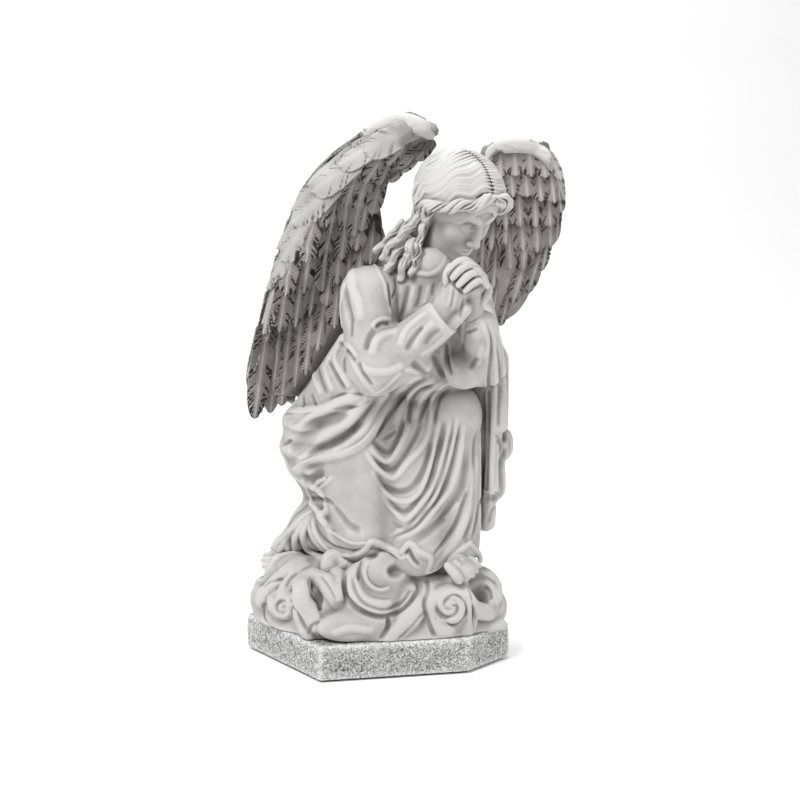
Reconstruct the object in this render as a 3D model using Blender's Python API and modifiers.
"""Cast-resin angel that kneels in prayer on a bank of clouds over a hexagonal plinth.

Metres, +Z up.  The origin is the middle of the resting face.  The plinth's front edge runs along X,
+X is to the right of someone in front of it and +Y points away from them.

The figurine is a glued assembly of separate castings.  A plinth carries the clouds on four screws, the
clouds carry the lower body, and the upper body, arms, hands, head, mantle and wings are bedded on one
another with steel dowels across the joints.  A filling core runs from the plinth's underside up into the
lower body: a rubber plug closes it, and a felt sheet covers the plug, the screw heads and the underside.
"""
import math

import bmesh
import bpy
from mathutils import Matrix, Vector

MM = 0.001

# Plinth: a hexagon that is the same after half a turn
PLINTH_FRONT_HALF_WIDTH = 0.0523
PLINTH_HALF_DEPTH = 0.0621
PLINTH_HALF_SPAN = 0.0892
PLINTH_SIDE_CORNER_SETBACK = 0.0319
PLINTH_TOP = 0.0256

# Felt sheet and filler plug under the plinth
FELT_THICKNESS = 0.0012
FELT_INSET = 0.004
PLUG_LENGTH = 0.009
PLUG_LIP = 0.004
PLUG_LIP_THICKNESS = 0.0016
PLUG_TAPER = 0.001

# Filling core, from the plinth up into the lower body
CORE_RADIUS = 0.017
BODY_CORE_RADIUS = 0.013
BODY_CORE_HEIGHT = 0.050
CORE_SHOULDER_SHARE = 0.6
CORE_X = -0.012
CORE_Y = -0.004

# Clouds, from the plinth's top to the level that the figure is set out from
CLOUD_HEIGHT = 0.0519
DRAWN_CLOUD_HEIGHT = 0.0519
CLOUD_TURN = math.radians(-19.7)

# Joints between castings
GAP = 0.0003
SEAT_GAP = 0.0006
DOWEL_CLEARANCE = 0.0003
WING_DOWEL_RADIUS = 0.0022
BODY_DOWEL_RADIUS = 0.003
SMALL_DOWEL_RADIUS = 0.0016
SCREW_RADIUS = 0.0021
SCREW_HEAD_RADIUS = 0.0042
SCREW_HEAD_HEIGHT = 0.0026
SCREW_BITE = 0.012
SCREW_ORBIT = 0.042
SCREW_COUNT = 4

# Wings
WING_SLAB = 0.0045

# How finely the castings are modelled: voxel size and smoothing passes, and the facets of each body
BODY_VOXEL = 0.003
WING_VOXEL = 0.0015
HAND_VOXEL = 0.002
BODY_SOFTENING = 6
WING_SOFTENING = 5
HAND_SOFTENING = 4
FACETS = {
    "cloud_base": 1100, "lower_body": 1300, "upper_body": 900, "right_arm": 500, "left_arm": 500,
    "hands": 500, "head": 800, "mantle": 450, "right_wing": 1000, "left_wing": 1000,
}
SPHERE_SEGMENTS = (20, 12)
LIMB_SEGMENTS = (16, 10)
CORE_SIDES = 20
FILLER_SIDES = 28
DOWEL_SIDES = 12

# Points nearer than these are one point
WELD = 0.00001
SLIVER = 0.00002
SHARP_EDGE = math.radians(40.0)

DATUM_Z = PLINTH_TOP + CLOUD_HEIGHT
ANGEL = "resin_angel_figurine"
CUTTERS = "cutters"


# ---------------------------------------------------------------- scene, materials

def clear_scene():
    """Remove every object that the file opens with."""
    for obj in list(bpy.data.objects):
        bpy.data.objects.remove(obj, do_unlink=True)


def collection(name):
    """A new collection under the scene."""
    made = bpy.data.collections.new(name)
    bpy.context.scene.collection.children.link(made)
    return made


def material(name, colour, roughness, metallic=0.0):
    """A Principled material."""
    made = bpy.data.materials.new(name)
    made.use_nodes = True
    shader = made.node_tree.nodes["Principled BSDF"]
    shader.inputs["Base Color"].default_value = (*colour, 1.0)
    shader.inputs["Roughness"].default_value = roughness
    shader.inputs["Metallic"].default_value = metallic
    return made


def above_cloud(x, y, z):
    """A point in millimetres, its height measured from the clouds' working top."""
    return Vector((x * MM, y * MM, z * MM + DATUM_Z))


def above_plinth(x, y, z):
    """A point in millimetres, its height measured from the plinth's top and set by the clouds' height."""
    height = z * MM * CLOUD_HEIGHT / DRAWN_CLOUD_HEIGHT
    return Vector((x * MM, y * MM, PLINTH_TOP + height))


# ---------------------------------------------------------------- solids

def new_object(name, mesh, home):
    """An object for a mesh, in a collection."""
    obj = bpy.data.objects.new(name, mesh)
    home.objects.link(obj)
    if home.name == CUTTERS:
        obj.hide_render = True
        obj.display_type = "WIRE"
    return obj


def from_bmesh(name, bm, home):
    """An object from a bmesh, which is freed."""
    bmesh.ops.recalc_face_normals(bm, faces=bm.faces)
    mesh = bpy.data.meshes.new(name)
    bm.to_mesh(mesh)
    bm.free()
    return new_object(name, mesh, home)


def evaluated_mesh(obj):
    """The mesh that an object's modifiers give."""
    graph = bpy.context.evaluated_depsgraph_get()
    return bpy.data.meshes.new_from_object(obj.evaluated_get(graph))


def settle(obj):
    """Apply an object's modifiers and clean the sliver faces they leave."""
    bpy.context.view_layer.update()
    mesh = evaluated_mesh(obj)
    obj.modifiers.clear()
    obj.data = mesh
    bm = bmesh.new()
    bm.from_mesh(mesh)
    bmesh.ops.remove_doubles(bm, verts=bm.verts, dist=SLIVER)
    bmesh.ops.dissolve_degenerate(bm, edges=bm.edges, dist=SLIVER)
    bmesh.ops.triangulate(bm, faces=bm.faces)
    keep_main_body(bm)
    bm.to_mesh(mesh)
    bm.free()


def keep_main_body(bm):
    """Delete the crumbs that a cut leaves beside the largest connected body."""
    left = set(bm.verts)
    bodies = []
    while left:
        body = set()
        front = [left.pop()]
        while front:
            vert = front.pop()
            body.add(vert)
            for edge in vert.link_edges:
                other = edge.other_vert(vert)
                if other in left:
                    left.remove(other)
                    front.append(other)
        bodies.append(body)
    bodies.sort(key=len, reverse=True)
    crumbs = [vert for body in bodies[1:] for vert in body]
    bmesh.ops.delete(bm, geom=crumbs, context="VERTS")


def cut(obj, *tools, operation="DIFFERENCE"):
    """Cut an object with each tool, or join it to them, by exact Booleans."""
    for tool in tools:
        boolean = obj.modifiers.new("cut", "BOOLEAN")
        boolean.operation = operation
        boolean.solver = "EXACT"
        boolean.object = tool
        settle(obj)


def grown(obj, distance):
    """A cutter that is the object's skin moved outwards, which gives its neighbour a seat with a gap."""
    bm = bmesh.new()
    bm.from_mesh(obj.data)
    bm.normal_update()
    moved = [vert.co + vert.normal * distance for vert in bm.verts]
    for vert, place in zip(bm.verts, moved):
        vert.co = place
    return from_bmesh("seat_of_" + obj.name, bm, tools_home)


def hexagon(inset):
    """The plinth's outline moved inwards by a distance, anticlockwise from its front left corner."""
    half = [
        Vector((-PLINTH_FRONT_HALF_WIDTH, -PLINTH_HALF_DEPTH)),
        Vector((PLINTH_FRONT_HALF_WIDTH, -PLINTH_HALF_DEPTH)),
        Vector((PLINTH_HALF_SPAN, -PLINTH_SIDE_CORNER_SETBACK)),
    ]
    corners = half + [-corner for corner in half]
    moved = []
    for index, corner in enumerate(corners):
        before = (corner - corners[index - 1]).normalized()
        after = (corners[(index + 1) % len(corners)] - corner).normalized()
        inward = Vector((-before.y, before.x)) + Vector((-after.y, after.x))
        moved.append(corner + inward * (inset / (1.0 + before.dot(after))))
    return moved


def prism(name, outline, low, high, home):
    """A solid from a flat outline between two heights: a filled 2D curve, extruded and then meshed."""
    curve = bpy.data.curves.new(name, "CURVE")
    curve.dimensions = "2D"
    curve.fill_mode = "BOTH"
    curve.extrude = 0.5 * (high - low)
    spline = curve.splines.new("POLY")
    spline.points.add(len(outline) - 1)
    spline.use_cyclic_u = True
    for point, place in zip(spline.points, outline):
        point.co = (place.x, place.y, 0.0, 1.0)
    source = bpy.data.objects.new(name + "_outline", curve)
    home.objects.link(source)
    source.location.z = 0.5 * (high + low)
    bpy.context.view_layer.update()
    bm = bmesh.new()
    bm.from_mesh(evaluated_mesh(source))
    bmesh.ops.transform(bm, matrix=source.matrix_world, verts=bm.verts)
    bmesh.ops.remove_doubles(bm, verts=bm.verts, dist=WELD)
    bpy.data.objects.remove(source, do_unlink=True)
    return from_bmesh(name, bm, home)


def rod(name, start, end, radius, home, sides=DOWEL_SIDES):
    """A round bar between two points."""
    span = end - start
    turn = Vector((0.0, 0.0, 1.0)).rotation_difference(span).to_matrix().to_4x4()
    bm = bmesh.new()
    bmesh.ops.create_cone(
        bm, cap_ends=True, segments=sides, radius1=radius, radius2=radius, depth=span.length,
        matrix=Matrix.Translation(0.5 * (start + end)) @ turn,
    )
    return from_bmesh(name, bm, home)


# ---------------------------------------------------------------- clay forms

def ball(centre, radii, turn=0.0):
    """An ellipsoid with half-axes in millimetres, turned about the vertical."""
    bm = bmesh.new()
    bmesh.ops.create_uvsphere(bm, u_segments=SPHERE_SEGMENTS[0], v_segments=SPHERE_SEGMENTS[1], radius=1.0)
    place = (
        Matrix.Translation(centre)
        @ Matrix.Rotation(turn, 4, "Z")
        @ Matrix.Diagonal((radii[0] * MM, radii[1] * MM, radii[2] * MM, 1.0))
    )
    bmesh.ops.transform(bm, matrix=place, verts=bm.verts)
    return bm


def limb(start, end, start_radius, end_radius):
    """A rounded bar that tapers between two points: the hull of the balls at its ends."""
    bm = bmesh.new()
    for centre, radius in ((start, start_radius), (end, end_radius)):
        bmesh.ops.create_uvsphere(
            bm, u_segments=LIMB_SEGMENTS[0], v_segments=LIMB_SEGMENTS[1], radius=radius * MM,
            matrix=Matrix.Translation(centre),
        )
    hull = bmesh.ops.convex_hull(bm, input=bm.verts)
    inside = {item for item in hull["geom_interior"] + hull["geom_unused"]
              if isinstance(item, bmesh.types.BMVert)}
    bmesh.ops.delete(bm, geom=list(inside), context="VERTS")
    return bm


def clay(name, lumps, skin, voxel=BODY_VOXEL, softening=BODY_SOFTENING):
    """One closed body from overlapping lumps: voxel skin, softened and thinned to the body's facets."""
    bm = bmesh.new()
    for lump in lumps:
        mesh = bpy.data.meshes.new("lump")
        lump.to_mesh(mesh)
        lump.free()
        bm.from_mesh(mesh)
        bpy.data.meshes.remove(mesh)
    body = from_bmesh(name, bm, parts_home)
    remesh = body.modifiers.new("skin", "REMESH")
    remesh.mode = "VOXEL"
    remesh.voxel_size = voxel
    soften = body.modifiers.new("soften", "SMOOTH")
    soften.factor = 0.5
    soften.iterations = softening
    settle(body)
    thin = body.modifiers.new("thin", "DECIMATE")
    thin.ratio = min(1.0, FACETS[name] / len(body.data.polygons))
    settle(body)
    body.data.materials.append(skin)
    return body


def floor_cut(obj, height):
    """Cut a body flat at a height and keep what is above."""
    bm = bmesh.new()
    bmesh.ops.create_cube(bm, size=1.0)
    bmesh.ops.translate(bm, verts=bm.verts, vec=(0.0, 0.0, height - 0.5))
    tool = from_bmesh("floor_of_" + obj.name, bm, tools_home)
    cut(obj, tool)


def turned(name, profile, place, home, steps=FILLER_SIDES):
    """A turned solid about a vertical axis at a point: a profile of radius and height, top to bottom."""
    bm = bmesh.new()
    verts = [bm.verts.new((radius, 0.0, height)) for radius, height in profile]
    for first, second in zip(verts, verts[1:]):
        bm.edges.new((first, second))
    mesh = bpy.data.meshes.new(name)
    bm.to_mesh(mesh)
    bm.free()
    obj = new_object(name, mesh, home)
    screw = obj.modifiers.new("turn", "SCREW")
    screw.steps = steps
    screw.render_steps = steps
    screw.use_merge_vertices = True
    screw.merge_threshold = WELD
    settle(obj)
    obj.data.transform(Matrix.Translation(place))
    return obj


def drilled_dowel(name, start, end, radius, hosts):
    """A dowel between two points, with a clear hole for it in each casting that it joins."""
    along = (end - start).normalized() * GAP
    hole = rod("hole_for_" + name, start - along, end + along, radius + DOWEL_CLEARANCE, tools_home)
    for host in hosts:
        cut(host, hole)
    dowel = rod(name, start, end, radius, parts_home)
    dowel.data.materials.append(steel)
    return dowel


def bed(obj, *neighbours):
    """Cut an object's seats on the castings that it is glued to."""
    for neighbour in neighbours:
        cut(obj, grown(neighbour, SEAT_GAP))


# ---------------------------------------------------------------- plinth and clouds

def make_plinth():
    """The hexagonal slab with the filler hole, whose wide mouth takes the plug's lip."""
    underside = FELT_THICKNESS + GAP
    plinth = prism("plinth", hexagon(0.0), underside, PLINTH_TOP, parts_home)
    settle(plinth)
    through = rod(
        "filler_hole", Vector((CORE_X, CORE_Y, -CORE_RADIUS)),
        Vector((CORE_X, CORE_Y, PLINTH_TOP + CORE_RADIUS)), CORE_RADIUS, tools_home, sides=FILLER_SIDES,
    )
    mouth_top = underside + PLUG_LIP_THICKNESS + 2.0 * GAP
    mouth = rod(
        "filler_mouth", Vector((CORE_X, CORE_Y, -CORE_RADIUS)), Vector((CORE_X, CORE_Y, mouth_top)),
        CORE_RADIUS + PLUG_LIP + GAP, tools_home, sides=FILLER_SIDES,
    )
    cut(plinth, through, mouth)
    plinth.data.materials.append(granite_coat)
    return plinth


def make_felt():
    """The felt sheet that the figurine rests on."""
    felt = prism("felt_sheet", hexagon(FELT_INSET), 0.0, FELT_THICKNESS, parts_home)
    settle(felt)
    felt.data.materials.append(felt_cloth)
    return felt


def make_plug():
    """The rubber plug: a lip that sits in the mouth and a tapered stem in the filler hole."""
    low = FELT_THICKNESS + 2.0 * GAP
    lip_top = low + PLUG_LIP_THICKNESS
    stem = CORE_RADIUS - GAP
    profile = [
        (0.0, low + PLUG_LENGTH),
        (stem - PLUG_TAPER, low + PLUG_LENGTH),
        (stem, lip_top),
        (CORE_RADIUS + PLUG_LIP, lip_top),
        (CORE_RADIUS + PLUG_LIP, low),
        (0.0, low),
    ]
    plug = turned("filler_plug", profile, Vector((CORE_X, CORE_Y, 0.0)), parts_home)
    plug.data.materials.append(rubber)
    return plug


def make_clouds():
    """The bank of clouds: a long mound over the plinth's long diagonal, with puffs around it."""
    lumps = [
        ball(above_plinth(0.0, 0.0, 0.0), (87.0, 57.0, 50.0), CLOUD_TURN),
        ball(above_plinth(-8.0, -8.0, 28.0), (56.0, 44.0, 25.0), CLOUD_TURN),
        ball(above_plinth(-70.0, 24.0, 12.0), (17.0, 17.0, 18.0)),
        ball(above_plinth(-56.0, 6.0, 22.0), (22.0, 26.0, 26.0)),
        ball(above_plinth(-44.0, -28.0, 14.0), (20.0, 21.0, 24.0)),
        ball(above_plinth(-10.0, -48.0, 13.0), (26.0, 12.0, 20.0)),
        ball(above_plinth(6.0, -50.0, 36.0), (18.0, 13.0, 15.0)),
        ball(above_plinth(45.0, -44.0, 16.0), (19.0, 15.0, 19.0)),
        ball(above_plinth(74.0, -24.0, 10.0), (15.0, 13.0, 16.0)),
        ball(above_plinth(60.0, -30.0, 26.0), (20.0, 18.0, 16.0)),
        ball(above_plinth(38.0, 34.0, 14.0), (26.0, 20.0, 22.0)),
        ball(above_plinth(-20.0, 44.0, 14.0), (30.0, 14.0, 22.0)),
    ]
    clouds = clay("cloud_base", lumps, stone)
    floor_cut(clouds, PLINTH_TOP + GAP)
    return clouds


def drill_core(clouds, body):
    """Drill the filling core up through the clouds and into the lower body."""
    shoulder = PLINTH_TOP + CORE_SHOULDER_SHARE * CLOUD_HEIGHT
    wide = rod(
        "core_wide", Vector((CORE_X, CORE_Y, PLINTH_TOP - CORE_RADIUS)),
        Vector((CORE_X, CORE_Y, shoulder)), CORE_RADIUS, tools_home, sides=CORE_SIDES,
    )
    narrow = rod(
        "core_narrow", Vector((CORE_X, CORE_Y, PLINTH_TOP)),
        Vector((CORE_X, CORE_Y, DATUM_Z + BODY_CORE_HEIGHT)), BODY_CORE_RADIUS, tools_home, sides=CORE_SIDES,
    )
    cut(clouds, wide, narrow)
    cut(body, narrow)


def make_base_screws(plinth, clouds):
    """The screws that hold the plinth to the clouds, their heads sunk in the underside."""
    low = FELT_THICKNESS + 2.0 * GAP
    head_top = low + SCREW_HEAD_HEIGHT
    tip = PLINTH_TOP + SCREW_BITE
    for index in range(SCREW_COUNT):
        angle = 2.0 * math.pi * (index + 0.5) / SCREW_COUNT
        reach = SCREW_ORBIT * Vector((math.cos(angle), math.sin(angle), 0.0))
        place = Vector((CORE_X, CORE_Y, 0.0)) + reach
        name = f"base_screw_{index + 1}"
        profile = [
            (0.0, tip),
            (SCREW_RADIUS, tip),
            (SCREW_RADIUS, head_top),
            (SCREW_HEAD_RADIUS, head_top),
            (SCREW_HEAD_RADIUS, low),
            (0.0, low),
        ]
        screw = turned(name, profile, place, parts_home, steps=DOWEL_SIDES)
        screw.data.materials.append(steel)
        up = Vector((0.0, 0.0, 1.0))
        shank_hole = rod("shank_hole", place, place + up * (tip + GAP),
                         SCREW_RADIUS + DOWEL_CLEARANCE, tools_home)
        head_hole = rod("head_hole", place - up * low, place + up * (head_top + GAP),
                        SCREW_HEAD_RADIUS + DOWEL_CLEARANCE, tools_home)
        cut(plinth, shank_hole, head_hole)
        cut(clouds, shank_hole)


# ---------------------------------------------------------------- figure

def make_lower_body():
    """Hips, both legs under the robe and the feet, from the waist to the clouds."""
    lumps = [
        ball(above_cloud(-16.0, 8.0, 92.0), (42.0, 34.0, 32.0)),
        ball(above_cloud(-36.0, 14.0, 66.0), (25.0, 28.0, 34.0)),
        ball(above_cloud(-24.0, 12.0, 24.0), (22.0, 26.0, 36.0)),
        limb(above_cloud(-18.0, -2.0, 92.0), above_cloud(-12.0, -24.0, 20.0), 32.0, 22.0),
        limb(above_cloud(-14.0, -16.0, 10.0), above_cloud(-58.0, 26.0, 0.0), 20.0, 11.0),
        limb(above_cloud(4.0, -4.0, 96.0), above_cloud(46.0, -30.0, 98.0), 28.0, 19.0),
        ball(above_cloud(47.0, -31.0, 99.0), (20.0, 21.0, 22.0)),
        limb(above_cloud(48.0, -30.0, 96.0), above_cloud(50.0, -37.0, 8.0), 20.0, 17.0),
        limb(above_cloud(22.0, -20.0, 80.0), above_cloud(22.0, -42.0, 8.0), 24.0, 21.0),
        ball(above_cloud(0.0, 10.0, 36.0), (44.0, 34.0, 52.0)),
        ball(above_cloud(22.0, 2.0, 14.0), (32.0, 30.0, 26.0)),
        limb(above_cloud(-62.0, 28.0, -6.0), above_cloud(-73.0, 30.0, -17.0), 9.0, 6.0),
        limb(above_cloud(52.0, -48.0, -2.0), above_cloud(61.0, -60.0, -9.0), 9.0, 6.0),
    ]
    return clay("lower_body", lumps, stone)


def make_upper_body():
    """Waist, chest, shoulders and the root of the neck."""
    lumps = [
        limb(above_cloud(-16.0, 2.0, 104.0), above_cloud(12.0, -18.0, 162.0), 33.0, 29.0),
        ball(above_cloud(22.0, -24.0, 170.0), (36.0, 28.0, 28.0), math.radians(22.0)),
        ball(above_cloud(28.0, -32.0, 142.0), (24.0, 22.0, 36.0)),
        limb(above_cloud(-12.0, -34.0, 186.0), above_cloud(56.0, -8.0, 180.0), 17.0, 17.0),
        limb(above_cloud(24.0, -26.0, 190.0), above_cloud(30.0, -34.0, 204.0), 18.0, 13.0),
    ]
    return clay("upper_body", lumps, stone)


def make_right_arm():
    """The right sleeve, down to the elbow and up to its cuff."""
    lumps = [
        limb(above_cloud(-14.0, -42.0, 184.0), above_cloud(-14.0, -60.0, 140.0), 19.0, 18.0),
        limb(above_cloud(-13.0, -60.0, 134.0), above_cloud(30.0, -78.0, 163.0), 17.0, 12.0),
        ball(above_cloud(4.0, -66.0, 138.0), (20.0, 14.0, 12.0)),
    ]
    return clay("right_arm", lumps, stone)


def make_left_arm():
    """The left sleeve, down to the elbow and up to its cuff."""
    lumps = [
        limb(above_cloud(61.0, -16.0, 178.0), above_cloud(66.0, -40.0, 134.0), 16.0, 15.0),
        limb(above_cloud(66.0, -42.0, 134.0), above_cloud(57.0, -70.0, 164.0), 15.0, 11.0),
    ]
    return clay("left_arm", lumps, stone)


def make_hands():
    """The clasped hands with the ends of both wrists."""
    lumps = [
        limb(above_cloud(35.0, -80.0, 166.0), above_cloud(44.0, -84.0, 184.0), 8.0, 9.0),
        limb(above_cloud(54.0, -74.0, 168.0), above_cloud(47.0, -82.0, 186.0), 8.0, 9.0),
        ball(above_cloud(45.0, -86.0, 193.0), (12.0, 11.0, 14.0)),
    ]
    return clay("hands", lumps, stone, HAND_VOXEL, HAND_SOFTENING)


def make_head():
    """The bowed head with its neck and the hair that falls to the nape."""
    lumps = [
        ball(above_cloud(49.0, -42.0, 245.0), (30.0, 30.0, 30.0)),
        ball(above_cloud(47.0, -54.0, 228.0), (19.0, 20.0, 27.0)),
        ball(above_cloud(24.0, -36.0, 228.0), (17.0, 19.0, 20.0)),
        ball(above_cloud(12.0, -32.0, 208.0), (16.0, 15.0, 15.0)),
        ball(above_cloud(66.0, -32.0, 228.0), (14.0, 14.0, 16.0)),
        limb(above_cloud(30.0, -38.0, 200.0), above_cloud(40.0, -44.0, 226.0), 12.0, 14.0),
    ]
    return clay("head", lumps, stone)


def make_mantle():
    """The end of the mantle that hangs from the left arm."""
    lumps = [
        limb(above_cloud(70.0, -30.0, 166.0), above_cloud(77.0, -22.0, 120.0), 9.0, 13.0),
        limb(above_cloud(77.0, -22.0, 120.0), above_cloud(78.0, -20.0, 66.0), 13.0, 14.0),
        limb(above_cloud(78.0, -20.0, 66.0), above_cloud(77.0, -20.0, 22.0), 14.0, 11.0),
    ]
    return clay("mantle", lumps, stone)


def wing(name, stations, back, root):
    """A hollow-faced wing lofted over its stations, each with a crest, a rim and a trailing point."""
    slab = back * WING_SLAB
    bm = bmesh.new()
    rings = []
    for crest, rim, trail, bow in stations:
        front_middle = trail.lerp(rim, 0.5) + back * (bow * MM)
        back_middle = trail.lerp(crest, 0.5) + back * (bow * MM) + slab
        ring = [trail, front_middle, rim, rim.lerp(crest, 0.5), crest + slab, back_middle, trail + slab]
        rings.append([bm.verts.new(place) for place in ring])
    for ring, following in zip(rings, rings[1:]):
        for index, vert in enumerate(ring):
            bm.faces.new((ring[index - 1], vert, following[index], following[index - 1]))
    bm.faces.new(rings[0])
    bm.faces.new(rings[-1])
    bmesh.ops.triangulate(bm, faces=bm.faces)
    bmesh.ops.recalc_face_normals(bm, faces=bm.faces)
    return clay(name, [bm, limb(*root)], dark_stone, WING_VOXEL, WING_SOFTENING)


def make_right_wing():
    """The right wing, from its wrist above the neck out and down to the tip."""
    rows = [
        ((35, -24, 299), (37, -32, 291), (39, -23, 288), 2),
        ((13, -20, 310), (18, -33, 294), (31, -14, 279), 4),
        ((-12, -12, 297), (0, -29, 282), (18, -4, 269), 7),
        ((-36, -5, 276), (-19, -23, 269), (2, 0, 258), 9),
        ((-53, 0, 256), (-33, -18, 249), (-2, 5, 241), 10),
        ((-66, 8, 225), (-45, -10, 222), (8, 8, 213), 10),
        ((-76, 16, 192), (-58, -1, 200), (5, 12, 181), 9),
        ((-82, 25, 158), (-71, 11, 168), (-15, 18, 149), 7),
        ((-88, 35, 117), (-80, 26, 130), (-36, 28, 120), 5),
        ((-92, 42, 82), (-90, 38, 84), (-66, 40, 84), 2),
    ]
    stations = [(above_cloud(*crest), above_cloud(*rim), above_cloud(*trail), bow)
                for crest, rim, trail, bow in rows]
    root = (above_cloud(12.0, 2.0, 182.0), above_cloud(0.0, 12.0, 184.0), 14.0, 11.0)
    return wing("right_wing", stations, Vector((-0.25, 0.97, 0.0)), root)


def make_left_wing():
    """The left wing, from its wrist behind the head out and down to the tip."""
    rows = [
        ((87, 30, 274), (86, 22, 270), (83, 28, 267), 2),
        ((95, 32, 286), (96, 20, 278), (78, 25, 258), 4),
        ((111, 36, 292), (115, 20, 281), (73, 22, 247), 7),
        ((130, 42, 286), (129, 24, 276), (68, 18, 231), 9),
        ((144, 48, 273), (142, 30, 261), (60, 14, 214), 10),
        ((150, 52, 251), (147, 36, 243), (55, 12, 197), 10),
        ((147, 55, 224), (145, 42, 222), (55, 16, 179), 9),
        ((141, 58, 199), (138, 48, 198), (60, 26, 160), 7),
        ((127, 62, 170), (126, 54, 169), (72, 42, 138), 5),
        ((107, 66, 138), (106, 60, 137), (86, 54, 122), 2),
    ]
    stations = [(above_cloud(*crest), above_cloud(*rim), above_cloud(*trail), bow)
                for crest, rim, trail, bow in rows]
    root = (above_cloud(47.0, 7.0, 180.0), above_cloud(60.0, 16.0, 184.0), 14.0, 11.0)
    return wing("left_wing", stations, Vector((-0.15, 0.98, 0.0)), root)


def make_dowels():
    """The steel dowels across the glued joints, each in a clear hole of both castings."""
    pins = (
        ("body_dowel_1", (-46, 8, -22), (-38, 8, 14), BODY_DOWEL_RADIUS, (clouds, lower_body)),
        ("body_dowel_2", (28, -22, -22), (28, -22, 20), BODY_DOWEL_RADIUS, (clouds, lower_body)),
        ("waist_dowel_1", (-22, 4, 94), (-12, -4, 140), BODY_DOWEL_RADIUS, (lower_body, upper_body)),
        ("waist_dowel_2", (8, -10, 92), (16, -18, 140), BODY_DOWEL_RADIUS, (lower_body, upper_body)),
        ("neck_dowel", (22, -24, 178), (38, -42, 226), BODY_DOWEL_RADIUS, (upper_body, head)),
        ("right_arm_dowel", (4, -30, 172), (-18, -48, 168), WING_DOWEL_RADIUS, (upper_body, right_arm)),
        ("left_arm_dowel", (44, -18, 172), (64, -26, 166), WING_DOWEL_RADIUS, (upper_body, left_arm)),
        ("right_wrist_dowel", (26, -76, 158), (42, -83, 176), SMALL_DOWEL_RADIUS, (right_arm, hands)),
        ("left_wrist_dowel", (59, -66, 156), (51, -78, 178), SMALL_DOWEL_RADIUS, (left_arm, hands)),
        ("mantle_dowel", (56, -28, 84), (80, -21, 88), SMALL_DOWEL_RADIUS, (lower_body, mantle)),
        ("right_wing_dowel_1", (16, -12, 180), (2, 11, 180), WING_DOWEL_RADIUS, (upper_body, right_wing)),
        ("right_wing_dowel_2", (14, -12, 190), (0, 12, 190), WING_DOWEL_RADIUS, (upper_body, right_wing)),
        ("left_wing_dowel_1", (40, -8, 178), (56, 14, 178), WING_DOWEL_RADIUS, (upper_body, left_wing)),
        ("left_wing_dowel_2", (40, -8, 188), (56, 14, 188), WING_DOWEL_RADIUS, (upper_body, left_wing)),
    )
    for name, start, end, radius, hosts in pins:
        drilled_dowel(name, above_cloud(*start), above_cloud(*end), radius, hosts)


# ---------------------------------------------------------------- assembly

clear_scene()
parts_home = collection(ANGEL)
tools_home = collection(CUTTERS)
stone = material("cast_stone", (0.60, 0.575, 0.555), 0.7)
dark_stone = material("washed_stone", (0.42, 0.39, 0.375), 0.75)
granite_coat = material("granite_coat", (0.40, 0.40, 0.40), 0.85)
felt_cloth = material("felt", (0.09, 0.10, 0.09), 0.95)
rubber = material("rubber", (0.04, 0.04, 0.04), 0.6)
steel = material("steel", (0.62, 0.62, 0.63), 0.35, 1.0)

make_felt()
make_plug()
plinth = make_plinth()
clouds = make_clouds()
lower_body = make_lower_body()
bed(lower_body, clouds)
floor_cut(lower_body, PLINTH_TOP + GAP)
upper_body = make_upper_body()
bed(upper_body, lower_body)
right_arm = make_right_arm()
bed(right_arm, lower_body, upper_body)
left_arm = make_left_arm()
bed(left_arm, lower_body, upper_body)
hands = make_hands()
bed(hands, right_arm, left_arm)
head = make_head()
bed(head, upper_body, hands)
right_wing = make_right_wing()
bed(right_wing, upper_body, head)
left_wing = make_left_wing()
bed(left_wing, upper_body, left_arm, head)
mantle = make_mantle()
bed(mantle, lower_body, upper_body, left_arm, left_wing, hands)

drill_core(clouds, lower_body)
make_base_screws(plinth, clouds)
make_dowels()

for made in parts_home.objects:
    made.data.shade_smooth()
    made.data.set_sharp_from_angle(angle=SHARP_EDGE)
